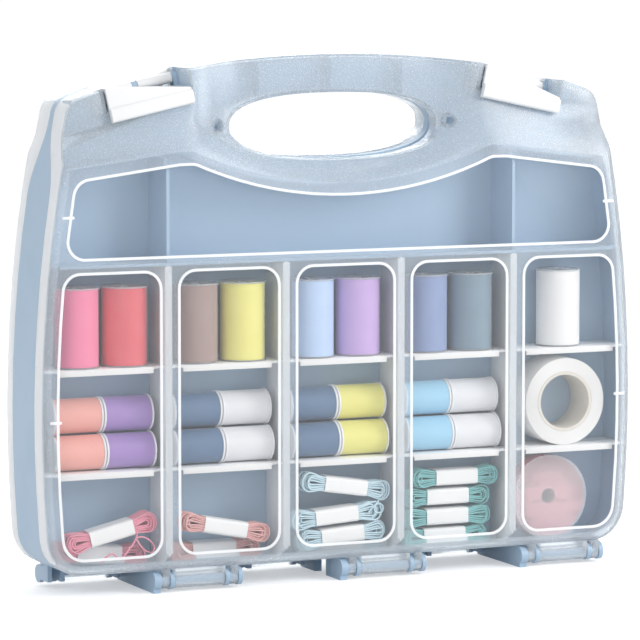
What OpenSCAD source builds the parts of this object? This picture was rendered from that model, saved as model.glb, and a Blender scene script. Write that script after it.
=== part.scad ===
// Double-sided thread organiser case: a core body with a tray on each side, two hinged lids that
// form the handle between them, four latches on two pins, plug-in dividers and the threads inside.
// Frame: X to the right, Y to the back, Z up. The case stands on its hinge side, origin on the
// ground under its middle. The rear side is the front side turned by 180 degrees about Z.

/* [Case] */
// Width at the widest point of the bowed sides
case_w = 374; // [350:1:400]
// Height from the feet to the top of the handle
case_h = 306; // [300:1:316]
// Depth over the two lid faces
case_d = 64; // [62:1:72]
// Height of the body's floor above the ground
floor_z = 13; // [12.5:0.5:15]
// Wall of the core body
body_wall = 1.8; // [1.4:0.1:2.4]
// Wall of a lid
lid_wall = 1.7; // [1.4:0.1:2.2]
// Depth of the core body over its two rims
body_d = 36; // [30:1:40]
// Depth over the two lids at the shoulders
neck_d = 42; // [38:1:46]
// Depth over the two lids at the grip
grip_d = 28; // [24:1:34]
// Radius of the bottom corners
corner_r = 22; // [14:1:28]
// Radius of the bowed sides
bow_r = 830; // [700:10:1200]

/* [Handle] */
// Width of the hand hole
hole_w = 132; // [115:1:136]
// Height of the hand hole at its middle
hole_h = 38; // [34:1:40]
// Height of the grip above the hand hole
grip_h = 22; // [18:1:24]

/* [Hinges] */
// Diameter of the moulded hinge bars
hinge_pin_d = 5; // [4:0.2:5.4]
// Outer diameter of the clips round the hinge bars
hinge_clip_d = 9.6; // [9:0.2:10.4]
// Spacing of the hinges along the case
hinge_pitch = 117; // [112:1:118]
// Running clearance on the radius of every hinge
run_gap = 0.06; // [0.04:0.01:0.09]

/* [Latches] */
// Length of a latch along the shoulder
latch_l = 51; // [46:1:52]
// Diameter of a latch pin
latch_pin_d = 3; // [2.4:0.1:3.4]
// Height of the rounded lip of a latch
lip_h = 8.5; // [7:0.5:9]
// Slope of the shoulders in degrees
shoulder_slope = 12; // [10:1:13]

/* [Dividers] */
// Room that the outer columns leave at each side of the case
side_room = 4.5; // [3.5:0.1:8]
// Height of one row of compartments
row_pitch = 59; // [56:0.5:60]
// Thickness of the plug-in dividers
divider_t = 1.4; // [1:0.1:2]

/* [Threads] */
// Diameter of the flanges of a tall spool
spool_d = 28; // [24:0.5:28.5]
// Height of a tall spool
spool_h = 46; // [36:1:50]
// Diameter of a small spool
small_d = 21; // [16:0.5:22]
// Length of a small spool
small_l = 30; // [24:1:32]
// Outer diameter of the tape roll
roll_d = 52; // [44:1:54]
// Length of a thread skein
skein_l = 60; // [54:1:62]
// Thickness of a thread skein at its looped ends
skein_d = 11.5; // [10.5:0.5:12.5]
// Diameter of one bundle of strands in a skein
strand_d = 3.4; // [2.6:0.1:3.6]
// Diameter of the reel of pink ribbon
reel_d = 50; // [40:1:53]

/* [Hidden] */

body_blue = [0.62, 0.71, 0.79];
frosted = [0.86, 0.91, 0.95, 0.45];
latch_white = [0.95, 0.95, 0.95];
divider_white = [0.92, 0.94, 0.96, 0.7];

eps = 0.01;
half_w = case_w / 2;
half_d = case_d / 2;
half_body = body_d / 2;
half_neck = neck_d / 2;
septum_t = 2;
web_rim = 6;
beyond = case_w + case_h;
edge_x = half_w + 20;
outline_step = 24;
across_steps = 22;
seam_gap = 0.25;
window_rib = 0.6;
lid_face = half_d - window_rib;
widest_z = 100;
// The four dividers share the width, with the room at the bowed sides left over
column_pitch = (case_w - 2 * side_room) / 5;

// Shoulders: the straight tops on which the latches sit, and their slope
latch_recess_l = latch_l + 2;
shoulder_in = 67;
shoulder_drop = 12;
shoulder_end = 42;
shoulder_sink = 1.5;
corner_drop = 14;
corner_out = 10;
shoulder_x = half_w - shoulder_in;
shoulder_z = case_h - shoulder_drop;
slope_cos = cos(shoulder_slope);
slope_sin = sin(shoulder_slope);
recess_depth = 14.5;

// Top edge of the trays: a dip under the hand hole, a peak each side, then a fall to the sides
dip_r = 235;
dip_x = 96;
tray_top_drop = 77;
tray_top_z = case_h - tray_top_drop;
outer_fall = 0.13;
side_rise = 18;
middle_rise = 15;
// The crease rises this much with the square of the distance from the middle, in 1/mm
crease_bend = 0.0011;
half_grip = grip_d / 2;

// Half depth of the lids above the crease: thin at the grip, full under the latches
latch_side_room = 2.5;
grip_blend = 6;
blend_x0 = hole_w / 2 - grip_blend;
blend_x1 = shoulder_x - latch_recess_l / 2 - latch_side_room;
function neck_half(x) = abs(x) <= blend_x0 ? half_grip
    : abs(x) >= blend_x1 ? half_neck
    : half_neck - (half_neck - half_grip) * (0.5 + 0.5 * cos(180 * (abs(x) - blend_x0) / (blend_x1 - blend_x0)));

// Hand hole
hole_z = case_h - grip_h - hole_h;

// Pegs beside the hand hole and the bosses of the lids that they enter
boss_out = 7.5;
boss_d = 9;
peg_d = 4.2;
peg_gap = 0.4;
peg_l = 3;
grip_rib_pitch = 45.5;

// Hinges: the bar's axis and the places of the parts along it, from a fin's middle
pin_back = 5.2;
pin_drop = 6;
pin_y = lid_face - pin_back;
pin_z = floor_z - pin_drop;
ear_r = 5.3;
fin_t = 4.4;
ear_t = 2.6;
side_gap = 0.35;
knuckle_w = 4.6;
clip_w = 31;
fin_end = fin_t / 2;
knuckle_1 = fin_end + side_gap;
ear_1 = knuckle_1 + knuckle_w + side_gap;
clip_0 = ear_1 + ear_t + side_gap;
ear_2 = clip_0 + clip_w + side_gap;
knuckle_2 = ear_2 + ear_t + side_gap;
cap_0 = knuckle_2 + knuckle_w + side_gap;
hinge_end = cap_0 + ear_t;
// On a narrow case the outer hinges move in, so that none hangs under a rounded corner
hinge_step = min(hinge_pitch, side_x(floor_z) - corner_r / 2 - cap_0);

// Compartments
column_x = [-1.5, -0.5, 0.5, 1.5] * column_pitch;
shelf_wall_z = floor_z + body_wall + 3 * row_pitch - 3;
lower_shelf_z = floor_z + body_wall + row_pitch - 3;
upper_shelf_z = lower_shelf_z + row_pitch;
divider_front = lid_face - lid_wall - 0.9;
divider_fit = 0.1;
shelf_end_fit = 0.3;
// Height that the lower edge of a lid reaches in a tray while the lid opens
lid_sweep = pin_z + norm([pin_y - half_body, floor_z + lid_wall - pin_z]);

// Windows of a lid, as [left, right, bottom, top]
window_margin = 7;
window_z0 = floor_z + 7.8;
window_z1 = shelf_wall_z - 4.5;
top_window_gap = 5;
window_r = 9.5;
rib_w = 1.6;
tick_z = [101.5, tray_top_z - 12];

function side_x(z) = half_w - bow_r + sqrt(bow_r * bow_r - pow(z - widest_z, 2));
function dip_z(x) = dip_r - sqrt(dip_r * dip_r - x * x);
function tray_top(x) = tray_top_z + (abs(x) < dip_x ? dip_z(x)
    : dip_z(dip_x) - outer_fall * (abs(x) - dip_x));

// Half depth of the body at a height: full at the trays, an S-curve to the thin neck
narrow_below = 2;
narrow_above = 42;
narrow_z0 = tray_top_z - narrow_below;
narrow_z1 = tray_top_z + narrow_above;
function body_half(z) = z <= narrow_z0 ? half_body
    : z >= narrow_z1 ? web_rim / 2
    : web_rim / 2 + (half_body - web_rim / 2) * (0.5 + 0.5 * cos(180 * (z - narrow_z0) / (narrow_z1 - narrow_z0)));

/* Outlines, drawn in X and Z */

module bowed_sides() {
    top = case_h + 40;
    points = concat([for (z = floor_z; z < top; z = z + outline_step) [side_x(z), z]], [[side_x(top), top]]);
    back = [for (i = [len(points) - 1 : -1 : 0]) [-points[i][0], points[i][1]]];
    polygon(concat(points, back));
}

module box_outline() {
    offset(r = corner_r, $fn = 40) offset(delta = -corner_r) bowed_sides();
}

function shoulder_point(side, u, v) = [side * (shoulder_x + u * slope_cos + v * slope_sin),
    shoulder_z - u * slope_sin + v * slope_cos];

// The grip's arch, the straight shoulders and the rounded outer corners
module top_outline() {
    grip_end = shoulder_x - latch_recess_l / 2 * slope_cos - 1;
    arch_r = 700;
    arch = [for (x = [-grip_end : grip_end / 8 : grip_end + eps]) [x, case_h - arch_r + sqrt(arch_r * arch_r - x * x)]];
    corner_x = half_w + corner_out;
    corner_z = shoulder_z - corner_drop;
    polygon(concat([[-corner_x, 0], [-corner_x, corner_z],
        shoulder_point(-1, shoulder_end, -shoulder_sink), shoulder_point(-1, latch_recess_l / 2, 0.4)], arch,
        [shoulder_point(1, latch_recess_l / 2, 0.4), shoulder_point(1, shoulder_end, -shoulder_sink),
        [corner_x, corner_z], [corner_x, 0]]));
}

module full_outline() {
    shoulder_r = 12;
    offset(r = shoulder_r, $fn = 48) offset(delta = -shoulder_r) intersection() {
        box_outline();
        top_outline();
    }
}

module latch_recesses() {
    above = 20;
    for (side = [-1, 1])
        polygon([shoulder_point(side, -latch_recess_l / 2, -recess_depth),
            shoulder_point(side, latch_recess_l / 2, -recess_depth),
            shoulder_point(side, latch_recess_l / 2, above),
            shoulder_point(side, -latch_recess_l / 2, above)]);
}

// The hand hole is an oval with full ends
module hand_hole(extra = 0) {
    fullness = 2 / 2.4;
    translate([0, hole_z + hole_h / 2]) offset(delta = extra)
        polygon([for (i = [0 : 43]) let (t = i * 360 / 44, c = cos(t), s = sin(t))
            [hole_w / 2 * sign(c) * pow(abs(c), fullness), hole_h / 2 * sign(s) * pow(abs(s), fullness)]]);
}

module rim_outline() {
    difference() {
        full_outline();
        latch_recesses();
    }
}

module neck_outline(inset = 0) {
    difference() {
        offset(delta = -inset) rim_outline();
        hand_hole(inset);
    }
}

// A flat outline in X and Z becomes a solid from the plane y0 to the plane y1
module slab(y0, y1) {
    translate([0, y1, 0]) rotate([90, 0, 0]) linear_extrude(height = y1 - y0) children();
}

// Everything under a slanted face that leads from the lid's face back to the neck
module under_slant(lower, rise, set_back, lift) {
    tilt = atan2(set_back, rise);
    xs = [for (x = [-edge_x : edge_x / across_steps : edge_x + eps]) x];
    function across(x) = lid_face * cos(tilt) + (tray_top(x) + 4 + lift * x * x) * sin(tilt) - lower;
    rotate([-tilt, 0, 0]) translate([0, 0, -beyond]) linear_extrude(height = 2 * beyond)
        polygon(concat([for (x = xs) [x, -across(x)]], [[edge_x, beyond], [-edge_x, beyond]]));
}

// The neck of a lid in plan, extruded upwards
module neck_plan(inset) {
    steps = 7;
    right = [for (i = [0 : steps]) blend_x0 + i * (blend_x1 - blend_x0) / steps];
    xs = concat([-edge_x], [for (i = [steps : -1 : 0]) -right[i]], right, [edge_x]);
    translate([0, 0, shelf_wall_z]) linear_extrude(height = beyond)
        polygon(concat([for (x = xs) [x, -neck_half(x) + inset]], [[edge_x, 1], [-edge_x, 1]]));
}

/* Core body */

module body_side_profile(gap = 0) {
    steps = 12;
    zs = concat([-beyond], [for (i = [0 : steps]) narrow_z0 + i * (narrow_z1 - narrow_z0) / steps], [beyond]);
    front = [for (z = zs) [-body_half(z) - gap, z]];
    back = [for (i = [len(zs) - 1 : -1 : 0]) [body_half(zs[i]) + gap, zs[i]]];
    translate([-edge_x, 0, 0]) slab_yz(2 * edge_x) polygon(concat(front, back));
}

module under_tray_top(lower = 0) {
    xs = [for (x = [-edge_x : edge_x / across_steps : edge_x + eps]) x];
    polygon(concat([[-edge_x, 0]], [for (x = xs) [x, tray_top(x) + 3 - lower]], [[edge_x, 0]]));
}

module tray_space() {
    tray_r = 6;
    difference() {
        offset(r = tray_r, $fn = 32) offset(delta = -body_wall - tray_r) tray_outline();
        wall_lines();
    }
}

module tray_outline() {
    intersection() {
        box_outline();
        under_tray_top();
    }
}

// The shelf wall and the two bay walls above it
module wall_lines() {
    translate([-half_w, shelf_wall_z - body_wall / 2]) square([case_w, body_wall]);
    for (x = [column_x[0], column_x[3]])
        translate([x - body_wall / 2, shelf_wall_z]) square([body_wall, case_h]);
}

module locating_boss() {
    for (side = [-1, 1])
        translate([side * (hole_w / 2 + boss_out), 0, hole_z + hole_h / 2 + 1]) rotate([90, 0, 0]) children();
}

module hinge_fins() {
    for (i = [-1, 0, 1]) {
        fin_back = i == 0 ? 8 : -pin_y;
        translate([i * hinge_step, 0, 0]) {
            translate([-fin_t / 2, 0, 0]) slab_yz(fin_t) union() {
                translate([-pin_y, pin_z]) circle(r = ear_r, $fn = 48);
                translate([-pin_y - 2.6, 0]) square([pin_y + 2.6 - fin_back, pin_z + 3]);
                translate([-pin_y, pin_z - 3]) square([pin_y - fin_back, floor_z - pin_z + 3 - seam_gap * 2]);
                translate([-half_body, pin_z])
                    square([min(half_body - fin_back, body_d), floor_z - pin_z + 1]);
            }
            for (x = [ear_1, ear_2, cap_0])
                translate([x, 0, 0]) slab_yz(ear_t) union() {
                    translate([-pin_y, pin_z]) circle(r = ear_r, $fn = 48);
                    translate([-pin_y, pin_z - 3]) square([pin_y - 10, floor_z - pin_z + 3 - seam_gap * 2]);
                    translate([-half_body, pin_z]) square([half_body - 10, floor_z - pin_z + 1]);
                }
            translate([0, -pin_y, pin_z]) rotate([0, 90, 0])
                cylinder(d = hinge_pin_d, h = hinge_end - 0.5, $fn = 48);
        }
    }
}

// A flat outline in Y and Z becomes a plate of the given thickness along X
module slab_yz(thick) {
    rotate([90, 0, 90]) linear_extrude(height = thick) children();
}

// Lugs on the neck that carry a latch pin: one between the barrels and one at each end
module latch_lugs() {
    for (side = [-1, 1])
        at_shoulder(side) for (u = [-latch_recess_l / 2 + 0.1, -1.5, latch_recess_l / 2 - 3.1])
            translate([u, 0, 0]) slab_yz(3) union() {
                translate([0, latch_axis_v]) circle(r = 3, $fn = 32);
                translate([-3, -recess_depth - 3]) square([6, recess_depth + 3 + latch_axis_v]);
            }
}

module core_body() {
    color(body_blue) difference() {
        union() {
            intersection() {
                union() {
                    difference() {
                        slab(-half_body, half_body) tray_outline();
                        slab(-half_d, -septum_t / 2) tray_space();
                        slab(septum_t / 2, half_d) tray_space();
                    }
                    slab(-half_body, half_body) difference() {
                        rim_outline();
                        offset(delta = -body_wall) rim_outline();
                    }
                }
                body_side_profile();
            }
            for (side = [0, 180]) rotate([0, 0, side]) inner_walls();
            slab(-septum_t / 2, septum_t / 2) neck_outline();
            grip_ribs();
            slab(-web_rim / 2, web_rim / 2) difference() {
                neck_outline();
                offset(delta = -body_wall) neck_outline();
            }
            for (side = [0, 180]) rotate([0, 0, side]) hinge_fins();
            latch_lugs();
            locating_boss() cylinder(d = peg_d, h = web_rim + 2 * peg_l, center = true, $fn = 32);
        }
        for (side = [-1, 1]) at_shoulder(side) latch_pin_bore();
    }
}

// The shelf wall and the two bay walls reach from the septum into the lid. Near the lid's face
// their ends are cut back, where the lid's edge is rounded.
module inner_walls() {
    wall_gap = 0.6;
    corner_room = 5;
    inner_wall_step(-divider_front + corner_room, body_wall + wall_gap);
    inner_wall_step(-divider_front, body_wall + wall_gap + corner_room);
}

module inner_wall_step(front, inset) {
    slab(front, -septum_t / 2) intersection() {
        offset(delta = -inset) tray_outline();
        wall_lines();
    }
}

// Stiffening ribs on both sides of the web in the grip, which show through the lids
module grip_ribs() {
    rib_t = 1.2;
    rib_gap = 0.6;
    depth = 2 * (half_grip - lid_wall - rib_gap);
    intersection() {
        slab(-depth / 2, depth / 2) offset(delta = -lid_wall - rib_gap) neck_outline();
        for (i = [-1 : 1])
            translate([i * grip_rib_pitch - rib_t / 2, -half_d, hole_z + hole_h / 2])
                cube([rib_t, case_d, case_h]);
    }
}

/* Lids */

module lid_box(inset, face) {
    round = 4;
    steps = 3;
    intersection() {
        hull() {
            slab(-face + round, 0) offset(delta = -inset) box_outline();
            for (i = [1 : steps])
                slab(-face + round * (1 - sin(90 * i / steps)), -face + round)
                    offset(delta = -inset - round * (1 - cos(90 * i / steps))) box_outline();
        }
        under_slant(inset, side_rise, lid_face - half_neck, 0);
        under_slant(inset, middle_rise, lid_face - half_grip, crease_bend);
    }
}

module lid_shell() {
    difference() {
        union() {
            intersection() {
                lid_box(0, lid_face);
                slab(-half_d, 0) neck_outline();
            }
            intersection() {
                slab(-half_neck, 0) neck_outline();
                neck_plan(0);
            }
        }
        intersection() {
            lid_box(lid_wall, lid_face - lid_wall);
            slab(-half_d, eps) neck_outline(lid_wall);
        }
        intersection() {
            slab(-half_neck, eps) neck_outline(lid_wall);
            neck_plan(lid_wall);
        }
        body_side_profile(seam_gap);
    }
}

function column_window(i) = let (
        left = i == 0 ? -side_x(widest_z) + window_margin + 3 : column_x[i - 1] + 6.3,
        right = i == 4 ? side_x(widest_z) - window_margin - 3 : column_x[i] - 6.3)
    [left, right, window_z0, window_z1];

module window_shape(i) {
    w = column_window(i);
    offset(r = window_r, $fn = 32) offset(delta = -window_r) intersection() {
        translate([w[0], w[2]]) square([w[1] - w[0], w[3] - w[2]]);
        offset(delta = -window_margin - 3) box_outline();
    }
}

module top_window_shape() {
    offset(r = window_r, $fn = 32) offset(delta = -window_r) intersection() {
        translate([-half_w, shelf_wall_z + top_window_gap]) square([case_w, case_h]);
        under_tray_top(7);
        offset(delta = -window_margin - 3) box_outline();
    }
}

module window_ribs() {
    for (i = [0 : 4]) difference() {
        offset(delta = rib_w) window_shape(i);
        window_shape(i);
    }
    difference() {
        offset(delta = rib_w) top_window_shape();
        top_window_shape();
    }
}

// Short ribs from the windows' borders to the edge of the lid's face
module tick_ribs() {
    face_round = 4;
    intersection() {
        offset(delta = -face_round) box_outline();
        for (z = tick_z)
            for (side = [-1, 1])
                translate([side * (side_x(z) - window_margin - 1) - window_margin / 2, z - rib_w / 2])
                    square([window_margin, rib_w]);
    }
}

module hinge_clips() {
    for (i = [-1, 0, 1]) translate([i * hinge_step, 0, 0])
        for (part = [[knuckle_1, knuckle_w], [clip_0, clip_w], [knuckle_2, knuckle_w]])
            translate([part[0], 0, 0]) slab_yz(part[1]) difference() {
                union() {
                    translate([-pin_y, pin_z]) circle(d = hinge_clip_d, $fn = 48);
                    translate([-pin_y - hinge_clip_d / 2, pin_z])
                        square([hinge_clip_d / 2 + 2.2, floor_z - pin_z + lid_wall / 2]);
                }
                translate([-pin_y, pin_z]) circle(d = hinge_pin_d + 2 * run_gap, $fn = 48);
                translate([-pin_y + 0.8, pin_z - 1.7]) square([10, 3.4]);
            }
}

module lid() {
    color(frosted) difference() {
        union() {
            lid_shell();
            slab(-half_d, -lid_face + 0.2) union() {
                window_ribs();
                tick_ribs();
            }
            hinge_clips();
            locating_boss() translate([0, 0, web_rim / 2 + seam_gap])
                cylinder(d = boss_d, h = neck_half(hole_w / 2 + boss_out) - web_rim / 2 - seam_gap, $fn = 32);
        }
        locating_boss() cylinder(d = peg_d + 2 * peg_gap, h = half_neck + 5, $fn = 32);
    }
}

/* Latches */

latch_axis_v = -5.4;
barrel_r = 3.2;
latch_t = 2.2;
lip_back = half_neck + 0.3;
lip_t = 4.2;
latch_front = lip_back + lip_t;
apron_back = 2.4;
lip_bottom = -20;
lip_top = lip_bottom + lip_h;
lug_gap = 0.3;

module at_shoulder(side) {
    translate([side * shoulder_x, 0, shoulder_z]) rotate([0, side * shoulder_slope, 0]) children();
}

module latch_pin_bore() {
    translate([-latch_recess_l / 2 - 1, 0, latch_axis_v]) rotate([0, 90, 0])
        cylinder(d = latch_pin_d, h = latch_recess_l + 2, $fn = 32);
}

// A latch whose tall end lies towards +X: barrel on the pin, sloping top, rounded lip in front
module latch() {
    half_l = latch_l / 2;
    barrel_0 = 1.5 + lug_gap;
    barrel_1 = latch_recess_l / 2 - 3.1 - lug_gap;
    top_drop = -lip_top - 1;
    tilt = atan2(top_drop, latch_l);
    difference() {
        union() {
            translate([barrel_0, 0, latch_axis_v]) rotate([0, 90, 0])
                cylinder(r = barrel_r, h = barrel_1 - barrel_0, $fn = 48);
            intersection() {
                translate([-half_l, -latch_front, lip_bottom])
                    cube([latch_l, latch_front, -lip_bottom]);
                union() {
                    translate([half_l, 0, 0]) rotate([0, -tilt, 0])
                        translate([-latch_l * 1.2, apron_back - latch_front, -latch_t])
                        cube([latch_l * 1.2, latch_front - apron_back - barrel_r - 0.8, latch_t]);
                    difference() {
                        union() {
                            translate([barrel_0, -barrel_r - 1.4, latch_axis_v])
                                cube([barrel_1 - barrel_0, 2.2, -latch_axis_v]);
                            translate([-half_l, apron_back - latch_front, lip_top - 1.5])
                                cube([latch_l, latch_t, -lip_bottom]);
                        }
                        translate([half_l, 0, 0]) rotate([0, -tilt, 0])
                            translate([-latch_l * 1.2, -latch_front - 5, -eps]) cube([latch_l * 1.3, 50, 40]);
                    }
                }
            }
            translate([-half_l, 0, 0]) slab_yz(latch_l) hull() {
                translate([-latch_front + 2, lip_bottom + 2]) circle(r = 2, $fn = 32);
                translate([-latch_front + 2, lip_top - 2]) circle(r = 2, $fn = 32);
                translate([-lip_back - 1, lip_bottom]) square([1, lip_h]);
            }
        }
        translate([-latch_l, 0, latch_axis_v]) rotate([0, 90, 0])
            cylinder(d = latch_pin_d + 2 * run_gap, h = 2 * latch_l, $fn = 32);
    }
}

module placed_latch(side, tall_right) {
    color(latch_white) at_shoulder(side) {
        if (tall_right) latch();
        else mirror([1, 0, 0]) latch();
    }
}

module latch_pin(side) {
    color([0.9, 0.9, 0.9]) at_shoulder(side) latch_pin_bore();
}

/* Dividers */

// One upright divider: its front corner is cut back at the foot, where the lid's edge swings
module column_divider(x) {
    color(divider_white) translate([x - divider_t / 2, 0, 0]) slab_yz(divider_t)
        polygon([[-septum_t / 2 - divider_fit, floor_z + body_wall + divider_fit],
            [-half_body, floor_z + body_wall + divider_fit],
            [-half_body, floor_z + body_wall + 3],
            [-divider_front, lid_sweep + 3],
            [-divider_front, shelf_wall_z - body_wall / 2 - divider_fit],
            [-septum_t / 2 - divider_fit, shelf_wall_z - body_wall / 2 - divider_fit]]);
}

module shelf_row(z) {
    outer = side_x(z) - body_wall - shelf_end_fit;
    ends = concat([-outer], column_x, [outer]);
    notch = 5;
    color(divider_white) for (i = [0 : 4]) {
        left = ends[i] + (i == 0 ? 0 : divider_t / 2 + divider_fit);
        right = ends[i + 1] - (i == 4 ? 0 : divider_t / 2 + divider_fit);
        translate([0, 0, z - divider_t / 2]) linear_extrude(height = divider_t)
            polygon([[left, -septum_t / 2 - divider_fit], [left, -divider_front + 3],
                [left + notch, -divider_front + 3], [left + notch + 3, -divider_front],
                [right - notch - 3, -divider_front], [right - notch, -divider_front + 3],
                [right, -divider_front + 3], [right, -septum_t / 2 - divider_fit]]);
    }
}

/* Threads */

row_1_z = upper_shelf_z + divider_t / 2;
row_2_z = lower_shelf_z + divider_t / 2;
row_3_z = floor_z + body_wall;
lie_gap = 0.05;
spool_y = -(septum_t / 2 + spool_d / 2 + 0.3);
flange_t = 1;
spool_core_d = 10;
thread_d = spool_d - 2;
column_mid = [-2, -1, 0, 1, 2] * column_pitch;

module upright_thread(x, hue) {
    color(hue) translate([x, spool_y, row_1_z + lie_gap + flange_t]) difference() {
        cylinder(d = thread_d, h = spool_h - 2 * flange_t, $fn = 48);
        translate([0, 0, -1]) cylinder(d = spool_core_d, h = spool_h, $fn = 32);
    }
}

module upright_core(x) {
    translate([x, spool_y, row_1_z + lie_gap]) difference() {
        union() {
            cylinder(d = spool_d, h = flange_t, $fn = 48);
            cylinder(d = spool_core_d, h = spool_h, $fn = 32);
            translate([0, 0, spool_h - flange_t]) cylinder(d = spool_d, h = flange_t, $fn = 48);
        }
        translate([0, 0, -1]) cylinder(d = 6, h = spool_h + 2, $fn = 32);
    }
}

spool_half_step = spool_d / 2 + 0.7;
function spool_x(column, place) = column_mid[column] + place * spool_half_step;
spool_places = [for (c = [0 : 3]) for (p = [-1, 1]) spool_x(c, p)];

module spool_cores() {
    color([0.93, 0.95, 0.97, 0.6]) {
        for (x = spool_places) upright_core(x);
        upright_core(column_mid[4]);
        reel_core();
    }
}

// Small spools lie along X, two side by side and a second pair on top, set back
small_y = -(septum_t / 2 + small_d / 2 + 4.4);
small_back_y = -(septum_t / 2 + small_d / 2 + 0.2);
small_up = sqrt(pow(small_d + 0.1, 2) - pow(small_y - small_back_y, 2));
small_low_z = row_2_z + small_d / 2 + lie_gap;
function small_place(column, side, up) = [column_mid[column] + (side < 0 ? -small_l - 0.4 : 0.4),
    up ? small_back_y : small_y, small_low_z + (up ? small_up : 0)];

module small_thread(places, hue) {
    color(hue) for (p = places) translate([p[0] + 1, p[1], p[2]]) rotate([0, 90, 0]) difference() {
        cylinder(d = small_d - 1, h = small_l - 2, $fn = 48);
        translate([0, 0, -1]) cylinder(d = 7, h = small_l, $fn = 32);
    }
}

all_small = [for (c = [0 : 3]) for (s = [-1, 1]) for (up = [false, true]) small_place(c, s, up)];

module small_spool_cores() {
    color([0.93, 0.95, 0.97]) for (p = all_small) translate(p) rotate([0, 90, 0]) {
        cylinder(d = small_d, h = 1, $fn = 48);
        cylinder(d = 7, h = small_l, $fn = 32);
        translate([0, 0, small_l - 1]) cylinder(d = small_d, h = 1, $fn = 48);
    }
}

tape_w = 24;
tape_wound_t = 8;
tape_core_t = 2;
tape_core_d = roll_d - 2 * tape_wound_t;
tape_z = row_2_z + roll_d / 2 + lie_gap;
module facing(x, z) {
    translate([x, -(septum_t / 2 + 0.3), z]) rotate([90, 0, 0]) children();
}

module tape_roll() {
    color([0.96, 0.96, 0.95]) facing(column_mid[4], tape_z) difference() {
        cylinder(d = roll_d, h = tape_w, $fn = 72);
        translate([0, 0, -1]) cylinder(d = tape_core_d, h = tape_w + 2, $fn = 64);
    }
}

module tape_core() {
    color([0.9, 0.88, 0.84]) facing(column_mid[4], tape_z) difference() {
        cylinder(d = tape_core_d, h = tape_w, $fn = 64);
        translate([0, 0, -1]) cylinder(d = tape_core_d - 2 * tape_core_t, h = tape_w + 2, $fn = 64);
    }
}

// A reel of ribbon whose flange faces the front; it leans on the last column divider
reel_w = 16;
reel_flange_t = 1;
reel_hub_d = 9;
reel_x = column_mid[4] - 6;
reel_z = row_3_z + reel_d / 2 + lie_gap;

module pink_disc() {
    color([0.85, 0.55, 0.6]) facing(reel_x, reel_z) translate([0, 0, reel_flange_t]) difference() {
        cylinder(d = reel_d - 2.6, h = reel_w - 2 * reel_flange_t, $fn = 64);
        translate([0, 0, -1]) cylinder(d = reel_hub_d, h = reel_w, $fn = 32);
    }
}

module reel_core() {
    facing(reel_x, reel_z) {
        cylinder(d = reel_d, h = reel_flange_t, $fn = 64);
        cylinder(d = reel_hub_d, h = reel_w, $fn = 32);
        translate([0, 0, reel_w - reel_flange_t]) cylinder(d = reel_d, h = reel_flange_t, $fn = 64);
    }
}

/* Skeins: each is one bundle of strands wound in long loops, drawn in at the waist by a paper band */

band_l = 27;
band_t = 0.45;
band_gap = 0.05;
bundle_gap = 0.6;
loops = 3;
bend_steps = 6;
bundle_sides = 6;
loop_step = strand_d + bundle_gap;
loop_r = (skein_d - strand_d) / 2;
run_half = skein_l / 2 - skein_d / 2;
waist_half = band_l / 2 + 1;
waist_z = min(loop_r, strand_d / 2 + 0.8);
skein_w = (loops - 1) * loop_step + strand_d;

// Half height between the two runs of a loop: low in the band, full at the bends
function run_z(x) = waist_z + (loop_r - waist_z)
    * (0.5 - 0.5 * cos(180 * min(1, max(0, (abs(x) - waist_half) / (run_half - waist_half)))));
function loop_y(k) = (k - (loops - 1) / 2) * loop_step;
run_places = [-run_half, -waist_half, 0, waist_half, run_half];

// One loop: the upper run, the right bend, the lower run that climbs to the next loop, the left bend
function upper_run(k) = [for (x = run_places) [x, loop_y(k), run_z(x)]];
function lower_run(k) = [for (i = [len(run_places) - 1 : -1 : 0]) let (x = run_places[i])
    [x, loop_y(k) + loop_step * (run_half - x) / (2 * run_half), -run_z(x)]];
function bend(side, k) = [for (i = [1 : bend_steps - 1]) let (a = 180 * i / bend_steps)
    [side * (run_half + loop_r * sin(a)), loop_y(k), side * loop_r * cos(a)]];
tail_start = [[-run_half - loop_r, loop_y(0), loop_r]];
tail_end = [for (x = [run_half, run_half - strand_d]) [x, loop_y(loops - 1), -loop_r]];
bundle_path = concat(tail_start,
    [for (k = [0 : loops - 1]) each concat(upper_run(k), bend(1, k),
        k < loops - 1 ? concat(lower_run(k), bend(-1, k + 1)) : tail_end)]);

// The least gap of the bundle to itself, measured between points that aren't neighbours on the path
function least_gap(path) = min([for (i = [0 : len(path) - 6]) for (j = [i + 5 : len(path) - 1])
    norm(path[i] - path[j])]) - strand_d;

function direction(path, i) = let (d = path[min(i + 1, len(path) - 1)] - path[max(i - 1, 0)]) d / norm(d);

module tube(path, d, sides) {
    rings = [for (i = [0 : len(path) - 1]) let (across = [0, 1, 0], up = cross(direction(path, i), across))
        for (j = [0 : sides - 1]) path[i] + d / 2 * (cos(360 * j / sides) * across
            + sin(360 * j / sides) * up / norm(up))];
    last = (len(path) - 1) * sides;
    walls = [for (i = [0 : len(path) - 2]) for (j = [0 : sides - 1])
        let (a = i * sides + j, b = i * sides + (j + 1) % sides)
        each [[a, a + sides, b], [b, a + sides, b + sides]]];
    ends = [for (j = [1 : sides - 2]) each [[0, j, j + 1], [last, last + j + 1, last + j]]];
    polyhedron(rings, concat(walls, ends));
}

// A place is [x, y, z, rise of the right end in degrees]
module skein_at(place) {
    translate([place[0], place[1], place[2]]) rotate([0, -place[3], 0]) children();
}

module band_outline(grow) {
    round = strand_d / 2;
    offset(r = round + grow, $fn = 24) square([2 * waist_z + strand_d - 2 * round, skein_w - 2 * round], center = true);
}

module band() {
    rotate([0, 90, 0]) linear_extrude(height = band_l, center = true) difference() {
        band_outline(band_gap + band_t);
        band_outline(band_gap);
    }
}

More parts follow.
